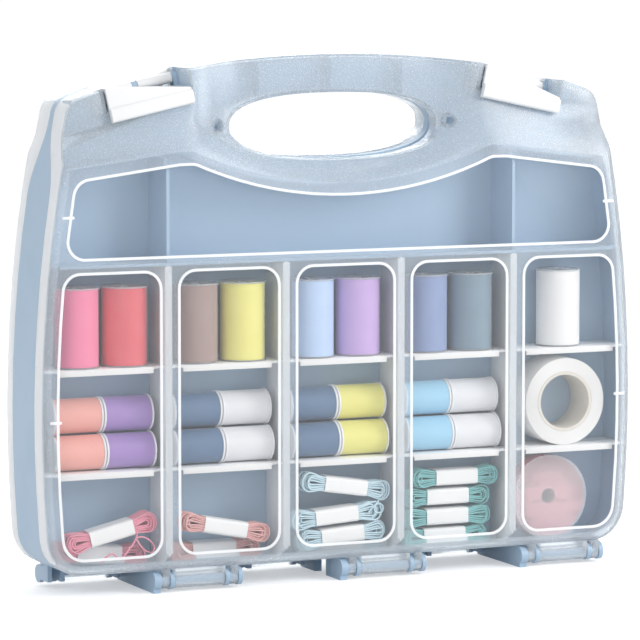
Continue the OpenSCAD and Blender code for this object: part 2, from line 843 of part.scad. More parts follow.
band_half = skein_w / 2 + band_gap + band_t;
skein_back = -(septum_t / 2 + 0.3 + band_half);
skein_front = skein_back - 2 * band_half - 0.3;
skein_mid = (skein_back + skein_front) / 2;
skein_low = row_3_z + skein_d / 2 + lie_gap;
skein_pitch = skein_d + 0.1;
// The front skeins lie on the loose ends of those behind, clear of the lid's lower edge
front_low = max(skein_low, lid_sweep + skein_d / 2 + 0.3);
function lift(rise) = run_half * sin(abs(rise));
// Room of a skein to either side of its column's middle, shared out as its offset
skein_play = (column_pitch - divider_t - skein_l) / 2;
function aside(share) = share * skein_play;
pink_places = [[column_mid[0], skein_back, skein_low + lift(5), -5],
    [column_mid[0] + aside(0.5), skein_front, front_low + lift(13) + 6, 13]];
salmon_places = [[column_mid[1] - aside(0.35), skein_back, skein_low, 0],
    [column_mid[1], skein_front, front_low + lift(11) + 6, -11]];
blue_places = [[column_mid[2] + aside(0.7), skein_back, skein_low, 0],
    [column_mid[2] + aside(0.15), skein_front, front_low + lift(4), 4],
    [column_mid[2] - aside(0.5), skein_front, front_low + lift(4) + skein_pitch, 4],
    [column_mid[2] + aside(0.5), skein_front, front_low + 2 * lift(4) + 2 * skein_pitch + lift(9), -9]];
teal_places = [for (i = [0 : 3])
    [column_mid[3] + aside([-0.5, -0.35, -0.15, 0.7][i]), skein_mid + (i % 2 == 0 ? 1 : -1), skein_low + i * skein_pitch, 0]];

module skeins(places, hue) {
    echo(str("least gap of a skein to itself, mm: ", least_gap(bundle_path)));
    color(hue) for (p = places) skein_at(p) tube(bundle_path, strand_d, bundle_sides);
}

module skein_bands() {
    color([0.95, 0.95, 0.95]) for (p = concat(pink_places, salmon_places, blue_places, teal_places))
        skein_at(p) band();
}

core_body();
lid();  // front_lid
rotate([0, 0, 180]) lid();  // rear_lid
placed_latch(-1, false);  // front_left_latch
placed_latch(1, false);  // front_right_latch
rotate([0, 0, 180]) placed_latch(1, false);  // rear_left_latch
rotate([0, 0, 180]) placed_latch(-1, false);  // rear_right_latch
latch_pin(-1);  // left_latch_pin
latch_pin(1);  // right_latch_pin
for (i = [0 : 3]) {
    column_divider(column_x[i]);
    rotate([0, 0, 180]) column_divider(column_x[i]);
}
shelf_row(upper_shelf_z);  // front_shelves_upper
shelf_row(lower_shelf_z);  // front_shelves_lower
rotate([0, 0, 180]) shelf_row(upper_shelf_z);  // rear_shelves_upper
rotate([0, 0, 180]) shelf_row(lower_shelf_z);  // rear_shelves_lower
spool_cores();
upright_thread(spool_x(0, -1), [0.95, 0.55, 0.65]);  // pink_thread
upright_thread(spool_x(0, 1), [0.88, 0.36, 0.42]);  // coral_thread
upright_thread(spool_x(1, -1), [0.66, 0.60, 0.60]);  // taupe_thread
upright_thread(spool_x(1, 1), [0.95, 0.93, 0.50]);  // yellow_thread
upright_thread(spool_x(2, -1), [0.63, 0.76, 0.95]);  // light_blue_thread
upright_thread(spool_x(2, 1), [0.72, 0.65, 0.90]);  // lilac_thread
upright_thread(spool_x(3, -1), [0.42, 0.50, 0.66]);  // slate_thread
upright_thread(spool_x(3, 1), [0.42, 0.50, 0.55]);  // teal_grey_thread
upright_thread(column_mid[4], [0.96, 0.96, 0.97]);  // white_thread
small_spool_cores();
small_thread([small_place(0, -1, false), small_place(0, -1, true)], [0.96, 0.62, 0.58]);  // peach_small_threads
small_thread([small_place(0, 1, false), small_place(0, 1, true)], [0.62, 0.47, 0.78]);  // purple_small_threads
small_thread([for (c = [1, 2]) for (up = [false, true]) small_place(c, -1, up)], [0.12, 0.17, 0.32]);  // navy_small_threads
small_thread([for (c = [1, 3]) for (up = [false, true]) small_place(c, 1, up)], [0.95, 0.95, 0.97]);  // white_small_threads
small_thread([small_place(2, 1, false), small_place(2, 1, true)], [0.95, 0.93, 0.55]);  // yellow_small_threads
small_thread([small_place(3, -1, false), small_place(3, -1, true)], [0.66, 0.85, 0.95]);  // sky_small_threads
tape_roll();
tape_core();
skeins(pink_places, [0.93, 0.52, 0.60]);  // pink_skeins
skeins(salmon_places, [0.92, 0.60, 0.58]);  // salmon_skeins
skeins(blue_places, [0.62, 0.82, 0.92]);  // blue_skeins
skeins(teal_places, [0.25, 0.68, 0.66]);  // teal_skeins
skein_bands();
pink_disc();
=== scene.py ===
import math
import random

import bmesh
import bpy
from mathutils import Matrix, Vector


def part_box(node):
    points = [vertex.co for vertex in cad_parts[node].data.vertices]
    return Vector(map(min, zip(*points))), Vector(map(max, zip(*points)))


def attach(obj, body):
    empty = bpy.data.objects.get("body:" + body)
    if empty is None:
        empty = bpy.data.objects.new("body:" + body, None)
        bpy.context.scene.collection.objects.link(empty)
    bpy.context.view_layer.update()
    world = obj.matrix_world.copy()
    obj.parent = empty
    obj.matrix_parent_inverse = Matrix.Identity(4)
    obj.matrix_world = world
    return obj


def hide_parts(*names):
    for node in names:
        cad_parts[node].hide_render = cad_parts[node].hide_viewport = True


# Double-sided thread organiser case. Metres, X to the right, Y to the back, Z up, as in the CAD part.

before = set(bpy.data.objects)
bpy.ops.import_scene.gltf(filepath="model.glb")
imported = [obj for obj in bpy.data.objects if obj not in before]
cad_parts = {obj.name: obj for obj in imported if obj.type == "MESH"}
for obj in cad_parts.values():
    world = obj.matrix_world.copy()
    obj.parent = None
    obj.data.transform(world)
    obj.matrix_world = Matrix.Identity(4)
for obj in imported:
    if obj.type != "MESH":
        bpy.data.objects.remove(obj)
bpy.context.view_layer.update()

MM = 0.001
dice = random.Random(41)


def deg(angle):
    return math.radians(angle)


# Camera, floor and light

CAMERA_AZIMUTH, CAMERA_ELEVATION = -23.9, 5.68
CAMERA_DISTANCE = 2.4135
CAMERA_TARGET = Vector((-0.0024, 0, 0.150))
FOCAL_PIXELS, PICTURE_PIXELS = 4120, 640
SENSOR = 36


def make_camera():
    data = bpy.data.cameras.new("camera")
    data.sensor_width = SENSOR
    data.lens = FOCAL_PIXELS * SENSOR / PICTURE_PIXELS
    camera = bpy.data.objects.new("camera", data)
    bpy.context.scene.collection.objects.link(camera)
    a, e = deg(CAMERA_AZIMUTH), deg(CAMERA_ELEVATION)
    away = Vector((math.sin(a) * math.cos(e), -math.cos(a) * math.cos(e), math.sin(e)))
    camera.location = CAMERA_TARGET + away * CAMERA_DISTANCE
    camera.rotation_euler = away.to_track_quat("Z", "Y").to_euler()
    bpy.context.scene.camera = camera


def make_lamp(name, place, aim, size, watts):
    data = bpy.data.lights.new(name, "AREA")
    data.shape, data.size, data.energy = "DISK", size, watts
    lamp = bpy.data.objects.new(name, data)
    bpy.context.scene.collection.objects.link(lamp)
    lamp.location = place
    lamp.rotation_euler = (Vector(place) - Vector(aim)).to_track_quat("Z", "Y").to_euler()


# Shader sums: a socket that adds its own Math nodes

class Shade:
    def __init__(self, tree, socket=None):
        self.tree, self.socket = tree, socket

    def node(self, kind, settings=None, sockets=None, out=0):
        made = self.tree.nodes.new(kind)
        for name, value in (settings or {}).items():
            if name == "stops":
                ramp = made.color_ramp.elements
                while len(ramp) < len(value):
                    ramp.new(0.5)
                for stop, (place, colour) in zip(ramp, value):
                    stop.position, stop.color = place, (*colour, 1)
            else:
                setattr(made, name, value)
        for name, value in (sockets or {}).items():
            socket = made.inputs[name]
            if isinstance(value, Shade):
                self.tree.links.new(value.socket, socket)
            elif hasattr(value, "__len__") and socket.type == "RGBA":
                socket.default_value = (*value, 1) if len(value) == 3 else value
            else:
                socket.default_value = value
        return Shade(self.tree, made.outputs[out] if made.outputs else None)

    def math(self, operation, first, second):
        return self.node("ShaderNodeMath", {"operation": operation}, {0: first, 1: second})

    def __add__(self, other):
        return self.math("ADD", self, other)

    def __sub__(self, other):
        return self.math("SUBTRACT", self, other)

    def __mul__(self, other):
        return self.math("MULTIPLY", self, other)

    def __truediv__(self, other):
        return self.math("DIVIDE", self, other)

    def __pow__(self, other):
        return self.math("POWER", self, other)

    def __radd__(self, other):
        return self.math("ADD", other, self)

    def __rsub__(self, other):
        return self.math("SUBTRACT", other, self)

    def __rmul__(self, other):
        return self.math("MULTIPLY", other, self)

    def __rtruediv__(self, other):
        return self.math("DIVIDE", other, self)

    def more_than(self, other):
        return self.math("GREATER_THAN", self, other)

    def larger(self, other):
        return self.math("MAXIMUM", self, other)

    def smaller(self, other):
        return self.math("MINIMUM", self, other)

    def ramp(self, low, high):
        """0 at low and below, 1 at high and above."""
        return self.node("ShaderNodeMapRange", {"interpolation_type": "SMOOTHSTEP"},
                         {"Value": self, "From Min": low, "From Max": high})

    def mix(self, colour_0, colour_1):
        """colour_0 where this socket is 0, colour_1 where it is 1."""
        return self.node("ShaderNodeMix", {"data_type": "RGBA"},
                         {0: self, 6: colour_0, 7: colour_1}, out=2)


class Finish:
    """A material under way: its places, its noises and the sockets of its surface."""

    def __init__(self, name):
        self.material = bpy.data.materials.new(name)
        self.material.use_nodes = True
        self.tree = self.material.node_tree
        self.tree.nodes.clear()
        self.shade = Shade(self.tree)
        place = self.shade.node("ShaderNodeTexCoord", out=3)
        self.place = place
        split = self.shade.node("ShaderNodeSeparateXYZ", {}, {0: place}).socket.node
        self.x, self.y, self.z = (Shade(self.tree, split.outputs[i]) for i in range(3))

    def point(self, x, y, z):
        return self.shade.node("ShaderNodeCombineXYZ", {}, {0: x, 1: y, 2: z})

    def noise(self, scale, detail=2, place=None, roughness=0.5):
        return self.shade.node("ShaderNodeTexNoise", {}, {
            "Vector": place or self.place, "Scale": scale, "Detail": detail, "Roughness": roughness})

    def cells(self, scale, place=None):
        return self.shade.node("ShaderNodeTexVoronoi", {}, {"Vector": place or self.place, "Scale": scale})

    def wave(self, value, pitch):
        """Goes from 0 to 1 and back once in each pitch of value."""
        return self.shade.math("SINE", value * (2 * math.pi / pitch), 0) * 0.5 + 0.5

    def bump(self, height, depth, strength=1.0):
        return self.shade.node("ShaderNodeBump", {}, {
            "Height": height, "Distance": depth, "Strength": strength})

    def surface(self, sockets):
        shader = self.shade.node("ShaderNodeBsdfPrincipled", {}, sockets)
        self.shade.node("ShaderNodeOutputMaterial", {}, {"Surface": shader})
        return self.material


def shaded(colour, share):
    return tuple(c * share for c in colour)


def pale(colour, share):
    return tuple(c + (1 - c) * share for c in colour)


def moulded(name, colour, roughness, grain=0.000002, wear=0.06, **extra):
    """Injection-moulded plastic: a fine satin grain, faint flow marks, handling wear in its gloss."""
    f = Finish(name)
    flow = f.noise(9, 3, f.point(f.x, f.y * 3, f.z * 0.6))
    fine = f.noise(2400, 2)
    smudge = f.noise(45, 4).ramp(0.45, 0.7)
    tint = flow.mix(shaded(colour, 0.965), pale(colour, 0.03))
    sockets = {"Base Color": tint, "Roughness": smudge * wear + (fine * wear + (roughness - wear * 0.75)),
               "Normal": f.bump(fine, grain), "IOR": 1.49}
    sockets.update(extra)
    return f.surface(sockets)


def thread_finish(name, colour, axis, pitch=0.00055, shine=0.35):
    """Wound polyester: fine turns across the axis, with painted shade in the grooves between them, a soft
    sheen, colour that wanders a little.
    """
    f = Finish(name)
    along = {"x": f.x, "z": f.z, "none": None}[axis]
    fibre = f.noise(1900, 2)
    patch = f.noise(120, 2)
    height = fibre * 0.5 if along is None else f.wave(along, pitch) + fibre * 0.35
    # The low parts between turns are painted darker: painted shade. The patches are random tone of the thread.
    groove_shade = shaded(colour, 0.80)
    low = patch.mix(shaded(colour, 0.94), pale(colour, 0.06))
    tint = height.ramp(0.0, 0.55).mix(groove_shade, low)
    return f.surface({"Base Color": tint, "Roughness": 0.62 - patch * 0.1, "Sheen Weight": shine,
                      "Sheen Roughness": 0.4, "Normal": f.bump(height, 0.00012, 0.6), "IOR": 1.5})


def floss_finish(name, colour):
    """Stranded cotton: each strand's twist follows its own length, with painted shade in the twist's grooves, a
    painted highlight on its crests, and a satin shine.
    """
    f = Finish(name)
    uv = f.shade.node("ShaderNodeUVMap", {"uv_map": "strand"})
    split = f.shade.node("ShaderNodeSeparateXYZ", {}, {0: uv}).socket.node
    along, around = Shade(f.tree, split.outputs[0]), Shade(f.tree, split.outputs[1])
    twist = f.wave(along + around * 0.0032, 0.0016)
    fibre = f.noise(2600, 2)
    # Colour follows the twist: painted shade in its grooves and a painted highlight on its crests, with random
    # fibre tone.
    tint = (twist * 0.8 + fibre * 0.2).mix(shaded(colour, 0.84), pale(colour, 0.22))
    return f.surface({"Base Color": tint, "Roughness": 0.45 + fibre * 0.15, "Sheen Weight": 0.3,
                      "Sheen Roughness": 0.35, "Normal": f.bump(twist + fibre * 0.3, 0.00012, 0.7)})


def paper_finish(name, colour):
    f = Finish(name)
    fibre = f.noise(700, 4, f.point(f.x * 0.6, f.y, f.z))
    return f.surface({"Base Color": fibre.mix(shaded(colour, 0.95), colour), "Roughness": 0.42 + fibre * 0.12,
                      "Normal": f.bump(fibre, 0.00003)})


def card_finish(name, colour):
    f = Finish(name)
    fibre = f.noise(420, 5)
    fleck = f.cells(900).ramp(0.0, 0.25)
    tint = (fibre * 0.7 + fleck * 0.3).mix(shaded(colour, 0.86), colour)
    return f.surface({"Base Color": tint, "Roughness": 0.85, "Normal": f.bump(fibre, 0.00006)})


def tape_finish(name, colour, weave=0.0007):
    """Woven tape: the warp shows as fine lines round the roll."""
    f = Finish(name)
    warp = f.wave(f.y, weave)
    grain = f.noise(1500, 2)
    height = warp * 0.6 + grain * 0.4
    # Colour follows the weave's height: painted shade in the grooves between warp threads, with random grain
    # tone.
    return f.surface({"Base Color": height.mix(shaded(colour, 0.93), colour), "Roughness": 0.72,
                      "Sheen Weight": 0.25, "Normal": f.bump(height, 0.00003)})


def frosted_finish(name, colour, clearness, roughness, alpha=1.0, haze_depth=0.000004):
    """Frosted polypropylene: light passes and scatters, with a fine eroded texture and a faint gloss."""
    f = Finish(name)
    fine = f.noise(2100, 2)
    flow = f.noise(14, 3, f.point(f.x, f.y, f.z * 0.5))
    tint = flow.mix(shaded(colour, 0.97), pale(colour, 0.2))
    return f.surface({"Base Color": tint, "Roughness": fine * 0.1 + (roughness - 0.05),
                      "Transmission Weight": clearness, "Alpha": alpha, "IOR": 1.28, "Coat Weight": 0.25,
                      "Coat Roughness": 0.25, "Normal": f.bump(fine, haze_depth)})


def clear_finish(name, colour, alpha, roughness=0.06):
    """Polished clear plastic, with the faint waves and fine scratches of a moulded window."""
    f = Finish(name)
    wavy = f.noise(28, 2)
    scratch = f.noise(60, 3, f.point(f.x * 8, f.y * 8, f.z * 0.4)).ramp(0.62, 0.72)
    return f.surface({"Base Color": colour, "Roughness": scratch * 0.12 + roughness,
                      "Alpha": alpha, "Specular IOR Level": 1.0,
                      "Normal": f.bump(wavy, 0.0004, 0.25)})


def backdrop_finish():
    f = Finish("pale_floor")
    grain = f.noise(6, 2)
    path = f.shade.node("ShaderNodeLightPath").socket.node
    seen = (Shade(f.tree, path.outputs["Is Camera Ray"]) + Shade(f.tree, path.outputs["Is Glossy Ray"])
            + Shade(f.tree, path.outputs["Is Transmission Ray"])).smaller(1)
    shader = f.shade.node("ShaderNodeBsdfDiffuse", {}, {
        "Color": grain.mix((0.80, 0.80, 0.80), (0.83, 0.83, 0.83))})
    glow = f.shade.node("ShaderNodeEmission", {}, {"Color": (1, 1, 1), "Strength": seen * 0.42})
    both = f.shade.node("ShaderNodeAddShader", {}, {0: shader, 1: glow})
    f.shade.node("ShaderNodeOutputMaterial", {}, {"Surface": both})
    return f.material


WORLD_LIGHT = 0.78


def make_world():
    world = bpy.data.worlds.new("soft_light")
    bpy.context.scene.world = world
    world.use_nodes = True
    tree = world.node_tree
    tree.nodes.clear()
    shade = Shade(tree)
    path = shade.node("ShaderNodeLightPath").socket.node
    seen = (Shade(tree, path.outputs["Is Camera Ray"]) + Shade(tree, path.outputs["Is Glossy Ray"])
            + Shade(tree, path.outputs["Is Transmission Ray"])).smaller(1)
    sky = shade.node("ShaderNodeBackground", {}, {
        "Color": (1, 1, 1), "Strength": seen * (1 - WORLD_LIGHT) + WORLD_LIGHT})
    shade.node("ShaderNodeOutputWorld", {}, {"Surface": sky})


def make_studio():
    bpy.context.scene.view_settings.view_transform = "Standard"
    make_world()
    fresh()
    bpy.ops.mesh.primitive_plane_add(size=60)
    floor = bpy.context.object
    floor.name = "floor"
    floor.data.materials.append(backdrop_finish())
    make_lamp("key", (1.2, -1.3, 0.9), (0, 0, 0.15), 0.9, 18)
    make_lamp("fill", (-1.3, -1.0, 0.7), (0, 0, 0.15), 1.0, 3)
    make_lamp("back", (0.3, 1.4, 1.0), (0, 0, 0.15), 1.2, 8)


# Mesh work

def fresh():
    """Object mode with nothing selected."""
    if bpy.context.object and bpy.context.object.mode != "OBJECT":
        bpy.ops.object.mode_set(mode="OBJECT")
    bpy.ops.object.select_all(action="DESELECT")


def take(piece):
    fresh()
    piece.select_set(True)
    bpy.context.view_layer.objects.active = piece
    return piece


def modifier(piece, kind, **settings):
    take(piece)
    made = piece.modifiers.new(kind.lower(), kind)
    for name, value in settings.items():
        setattr(made, name, value)
    bpy.ops.object.modifier_apply(modifier=made.name)


def select_faces(piece, test):
    """In edit mode: selects the faces for which test(centre, normal) is true."""
    mesh = bmesh.from_edit_mesh(piece.data)
    for face in mesh.faces:
        face.select_set(bool(test(face.calc_center_median(), face.normal)))
    mesh.select_flush_mode()
    bmesh.update_edit_mesh(piece.data)


def settle(piece):
    """The piece's place goes into its mesh, and its faces point outwards."""
    take(piece)
    bpy.ops.object.transform_apply(location=True, rotation=True, scale=True)
    bpy.ops.object.mode_set(mode="EDIT")
    bpy.ops.mesh.select_all(action="SELECT")
    bpy.ops.mesh.remove_doubles(threshold=1e-6)
    bpy.ops.mesh.normals_make_consistent(inside=False)
    bpy.ops.object.mode_set(mode="OBJECT")


def smooth(piece, angle=35):
    take(piece)
    bpy.ops.object.shade_smooth_by_angle(angle=deg(angle))


def dress(piece, name, finish, slot, body, *nodes):
    piece.name = piece.data.name = name
    if not isinstance(finish, (list, tuple)):
        finish = [finish]
    if not piece.data.materials:
        for each in finish:
            piece.data.materials.append(each)
    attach(piece, body)
    if nodes:
        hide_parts(*nodes)
    return piece


def joined(pieces):
    fresh()
    for piece in pieces:
        piece.select_set(True)
    bpy.context.view_layer.objects.active = pieces[0]
    if len(pieces) > 1:
        bpy.ops.object.join()
    return pieces[0]


def copied(piece, matrix):
    other = piece.copy()
    other.data = piece.data.copy()
    bpy.context.scene.collection.objects.link(other)
    other.data.transform(matrix)
    return other


def at(x=0, y=0, z=0):
    return Matrix.Translation((x, y, z))


def carved(node, name, bevel, finish, slot, body, segments=2, angle=38):
    """A hard part from its CAD node: merged, its flat faces joined, its edges broken as a mould breaks them."""
    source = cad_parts[node]
    piece = bpy.data.objects.new(name, source.data.copy())
    bpy.context.scene.collection.objects.link(piece)
    piece.data.materials.clear()
    take(piece)
    bpy.ops.object.mode_set(mode="EDIT")
    bpy.ops.mesh.select_all(action="SELECT")
    bpy.ops.mesh.remove_doubles(threshold=1e-6)
    bpy.ops.mesh.dissolve_limited(angle_limit=deg(0.6))
    bpy.ops.object.mode_set(mode="OBJECT")
    if piece.data.has_custom_normals:
        bpy.ops.mesh.customdata_custom_splitnormals_clear()
    if bevel:
        modifier(piece, "BEVEL", width=bevel, segments=segments, limit_method="ANGLE",
                 angle_limit=deg(angle), use_clamp_overlap=True, miter_outer="MITER_ARC")
    take(piece)
    bpy.ops.object.mode_set(mode="EDIT")
    bpy.ops.mesh.select_all(action="SELECT")
    bpy.ops.mesh.quads_convert_to_tris()
    bpy.ops.object.mode_set(mode="OBJECT")
    smooth(piece, 32)
    return dress(piece, name, finish, slot, body, node)


def turned(name, profile, sides):
    """A turned ring about Z: profile is a closed row of (radius, height) points, followed by extrusion."""
    fresh()
    (first, low), rest = profile[0], profile[1:]
    bpy.ops.mesh.primitive_circle_add(vertices=sides, radius=first, location=(0, 0, 0), fill_type="NOTHING")
    ring = bpy.context.object
    ring.name = name
    bpy.ops.object.mode_set(mode="EDIT")
    bpy.ops.mesh.select_all(action="SELECT")
    bpy.ops.transform.translate(value=(0, 0, low))
    radius, height = first, low
    for r, z in [*rest, profile[0]]:
        bpy.ops.mesh.extrude_edges_move(TRANSFORM_OT_translate={"value": (0, 0, z - height)})
        if abs(r - radius) > 1e-7:
            bpy.ops.transform.resize(value=(r / radius, r / radius, 1), center_override=(0, 0, z))
        radius, height = r, z
    bpy.ops.object.mode_set(mode="OBJECT")
    settle(ring)
    return ring


# Finishes of this case

BODY_BLUE = (0.35, 0.485, 0.63)
FROST = (0.86, 0.93, 0.99)
WHITE = (0.92, 0.93, 0.94)

body_plastic = moulded("blue_grey_polypropylene", BODY_BLUE, 0.42)
latch_plastic = moulded("satin_white_polypropylene", (0.84, 0.85, 0.86), 0.34)
pin_plastic = moulded("white_acetal_rod", (0.72, 0.74, 0.76), 0.28)
divider_plastic = moulded("milky_divider_plastic", WHITE, 0.38)
small_spool_plastic = moulded("white_spool_plastic", (0.82, 0.83, 0.85), 0.35)
spool_plastic = clear_finish("clear_spool_plastic", (0.90, 0.93, 0.96), 0.30, 0.12)
lid_frost = frosted_finish("frosted_lid_face", FROST, 0.70, 0.26, 0.86)
lid_border = frosted_finish("frosted_lid_border", (0.96, 0.98, 1.0), 0.15, 0.40)
lid_edge = frosted_finish("frosted_lid_edge", (0.93, 0.96, 0.99), 0.30, 0.35)
lid_window = clear_finish("clear_lid_window", (0.93, 0.96, 1.0), 0.07)
lid_inside = clear_finish("polished_lid_inside", (0.93, 0.96, 1.0), 0.03)

THREAD_COLOURS = {
    "pink_thread": (0.92, 0.23, 0.40), "coral_thread": (0.80, 0.12, 0.15),
    "taupe_thread": (0.37, 0.26, 0.24), "yellow_thread": (0.88, 0.83, 0.24),
    "light_blue_thread": (0.50, 0.66, 0.92), "lilac_thread": (0.58, 0.40, 0.76),
    "slate_thread": (0.24, 0.32, 0.55), "teal_grey_thread": (0.20, 0.29, 0.37),
    "white_thread": (0.90, 0.90, 0.91)}
SMALL_COLOURS = {
    "peach_small_threads": (0.94, 0.42, 0.36), "purple_small_threads": (0.37, 0.23, 0.58),
    "navy_small_threads": (0.09, 0.18, 0.32), "white_small_threads": (0.84, 0.85, 0.88),
    "yellow_small_threads": (0.88, 0.84, 0.24), "sky_small_threads": (0.36, 0.68, 0.90)}
SKEIN_COLOURS = {
    "pink_skeins": (0.90, 0.26, 0.38), "salmon_skeins": (0.87, 0.41, 0.39),
    "blue_skeins": (0.58, 0.81, 0.91), "teal_skeins": (0.13, 0.53, 0.54)}


# Hard parts of the case

EDGE = 0.35 * MM
FINE_EDGE = 0.18 * MM


FLANGE = 1.2 * MM


def block(low, high):
    """A bar from one corner to the other, with softened edges."""
    fresh()
    bpy.ops.mesh.primitive_cube_add(size=1, location=[(a + b) / 2 for a, b in zip(low, high)])
    bar = bpy.context.object
    bpy.ops.transform.resize(value=[b - a for a, b in zip(low, high)])
    settle(bar)
    modifier(bar, "BEVEL", width=FINE_EDGE, segments=2)
    smooth(bar, 32)
    return bar


def flanged(piece, node, bars):
    """Adds the bars along a divider's front edge, given by their places in X and Z."""
    low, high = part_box(node)
    outer = 0.03 * MM
    front = (low.y - outer, low.y + FLANGE) if node.startswith("front") else (high.y - FLANGE, high.y + outer)
    return joined([piece, *(block((x0, front[0], z0), (x1, front[1], z1)) for x0, x1, z0, z1 in bars)])


def make_case():
    carved("core_body", "moulded_core_body", EDGE, body_plastic, "body_plastic", "case")
    for side in ("left", "right"):
        carved(f"{side}_latch_pin", f"{side}_latch_rod", 0.3 * MM, pin_plastic, "pin_plastic", "case")
        for face in ("front", "rear"):
            carved(f"{face}_{side}_latch", f"moulded_{face}_{side}_latch", 0.45 * MM, latch_plastic,
                   "latch_plastic", f"{face}_{side}_latch", segments=3)
    for face in ("front", "rear"):
        for i in range(1, 5):
            node = f"{face}_column_divider_{i}"
            low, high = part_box(node)
            piece = carved(node, f"{face}_plug_in_divider_{i}", FINE_EDGE, divider_plastic,
                           "divider_plastic", "case")
            flanged(piece, node, [(low.x - 1.5 * MM, high.x + 1.5 * MM, 22.5 * MM, high.z - 0.5 * MM)])
        for row in ("upper", "lower"):
            node = f"{face}_shelves_{row}"
            boxes = [box_of(part) for part in loose_parts(node)]
            piece = carved(node, f"{face}_plug_in_shelves_{row}", FINE_EDGE, divider_plastic,
                           "divider_plastic", "case")
            flanged(piece, node, [(low.x + 8.2 * MM, high.x - 8.2 * MM, low.z - 2.2 * MM, high.z - 0.03 * MM)
                                  for low, high in boxes])


# Faces of a lid: frosted outside, clear inside the raised borders, polished behind its flat face

FROSTED, WINDOW, INSIDE, BORDER, SIDE_WALL = range(5)


SIDE_WALL_X = 0.150


def make_lid(face, outward):
    node = f"{face}_lid"
    low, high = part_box(node)
    rib_plane = max(abs(low.y), abs(high.y))
    rib_height, wall = 0.6 * MM, 1.7 * MM
    lid_plane = rib_plane - rib_height
    piece = carved(node, f"moulded_{face}_lid", 0.3 * MM,
                   [lid_frost, lid_window, lid_inside, lid_border, lid_edge], "frosted_plastic", node)
    mesh = bmesh.new()
    mesh.from_mesh(piece.data)
    near = 0.02 * MM
    flat = {f for f in mesh.faces if f.normal.y * outward > 0.99
            and abs(f.calc_center_median().y * outward - lid_plane) < near}
    islands = []
    while flat:
        island, todo = set(), [flat.pop()]
        while todo:
            one = todo.pop()
            island.add(one)
            for edge in one.edges:
                for other in edge.link_faces:
                    if other in flat:
                        flat.discard(other)
                        todo.append(other)
        islands.append(island)
    islands.sort(key=lambda faces: sum(f.calc_area() for f in faces))
    for face_ in mesh.faces:
        middle = face_.calc_center_median()
        if middle.y * outward > lid_plane + near:
            face_.material_index = BORDER
        elif face_.normal.y * outward < -0.99 and abs(middle.y * outward - lid_plane + wall) < near:
            face_.material_index = INSIDE
        elif abs(face_.normal.x) > 0.75 and abs(middle.x) > SIDE_WALL_X:
            face_.material_index = SIDE_WALL
    for island in islands[:-1]:
        for face_ in island:
            face_.material_index = WINDOW
    mesh.to_mesh(piece.data)
    mesh.free()
    return piece


# Wound spools, tape and ribbon

def wound_profile(outer, bore, low, high, turns, ridge):
    """Across a winding: a bore, two flat ends and one small ridge for each turn."""
    pitch = (high - low) / turns
    rows = [(bore, low), (outer - ridge * 3, low)]
    for i in range(turns):
        rows += [(outer - ridge, low + (i + 0.15) * pitch), (outer, low + (i + 0.5) * pitch)]
    return rows + [(outer - ridge, high - 0.1 * pitch), (outer - ridge * 3, high), (bore, high)]


def make_tall_threads():
    low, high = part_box("pink_thread")
    radius, height = (high.x - low.x) / 2, high.z - low.z
    bore, turns, ridge, sides = 5.02 * MM, 62, 0.07 * MM, 56
    master = turned("winding", wound_profile(radius, bore, 0, height, turns, ridge), sides)
    smooth(master, 60)
    for node, colour in THREAD_COLOURS.items():
        low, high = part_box(node)
        place = at((low.x + high.x) / 2, (low.y + high.y) / 2, low.z)
        piece = copied(master, place @ Matrix.Rotation(deg(dice.uniform(0, 90)), 4, "Z"))
        finish = thread_finish(f"wound_{node}", colour, "z")
        dress(piece, f"wound_{node}", finish, node, "case", node)
    bpy.data.objects.remove(master)
    carved("spool_cores", "clear_spool_cores", FINE_EDGE, spool_plastic, "spool_plastic", "case")


def loose_parts(node):
    """The points of a node's separate solids, one list for each."""
    mesh = bmesh.new()
    mesh.from_mesh(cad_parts[node].data)
    bmesh.ops.remove_doubles(mesh, verts=mesh.verts, dist=1e-6)
    left, parts = set(mesh.verts), []
    while left:
        todo = [left.pop()]
        found = []
        while todo:
            one = todo.pop()
            found.append(one.co.copy())
            for edge in one.link_edges:
                other = edge.other_vert(one)
                if other in left:
                    left.discard(other)
                    todo.append(other)
        parts.append(found)
    mesh.free()
    return parts


def box_of(points):
    return (Vector(min(p[i] for p in points) for i in range(3)),
            Vector(max(p[i] for p in points) for i in range(3)))


def make_small_threads():
    first = box_of(loose_parts("peach_small_threads")[0])
    radius, length = (first[1].z - first[0].z) / 2, first[1].x - first[0].x
    bore, turns, ridge, sides = 3.52 * MM, 44, 0.06 * MM, 44
    master = turned("small_winding", wound_profile(radius, bore, 0, length, turns, ridge), sides)
    smooth(master, 60)
    lay = Matrix.Rotation(deg(90), 4, "Y")
    for node, colour in SMALL_COLOURS.items():
        pieces = []
        for part in loose_parts(node):
            low, high = box_of(part)
            turn = Matrix.Rotation(deg(dice.uniform(0, 90)), 4, "X")
            pieces.append(copied(master, at(low.x, (low.y + high.y) / 2, (low.z + high.z) / 2) @ turn @ lay))
        finish = thread_finish(f"wound_{node}", colour, "x", 0.00045)
        dress(joined(pieces), f"wound_{node}", finish, node, "case", node)
    bpy.data.objects.remove(master)
    carved("small_spool_cores", "white_small_spool_cores", 0.15 * MM, small_spool_plastic,
           "small_spool_plastic", "case")


def layered_profile(outer, bore, low, high, layers, groove):
    """Across a flat roll: its layers show on both sides as fine rings."""
    step = (outer - bore) / layers
    up = [(bore + (i + share) * step, low if share else low + groove)
          for i in range(layers) for share in (0, 0.3, 0.8)]
    down = [(r, high - (z - low)) for r, z in reversed(up)]
    return up + [(outer, low + groove), (outer, high - groove)] + down


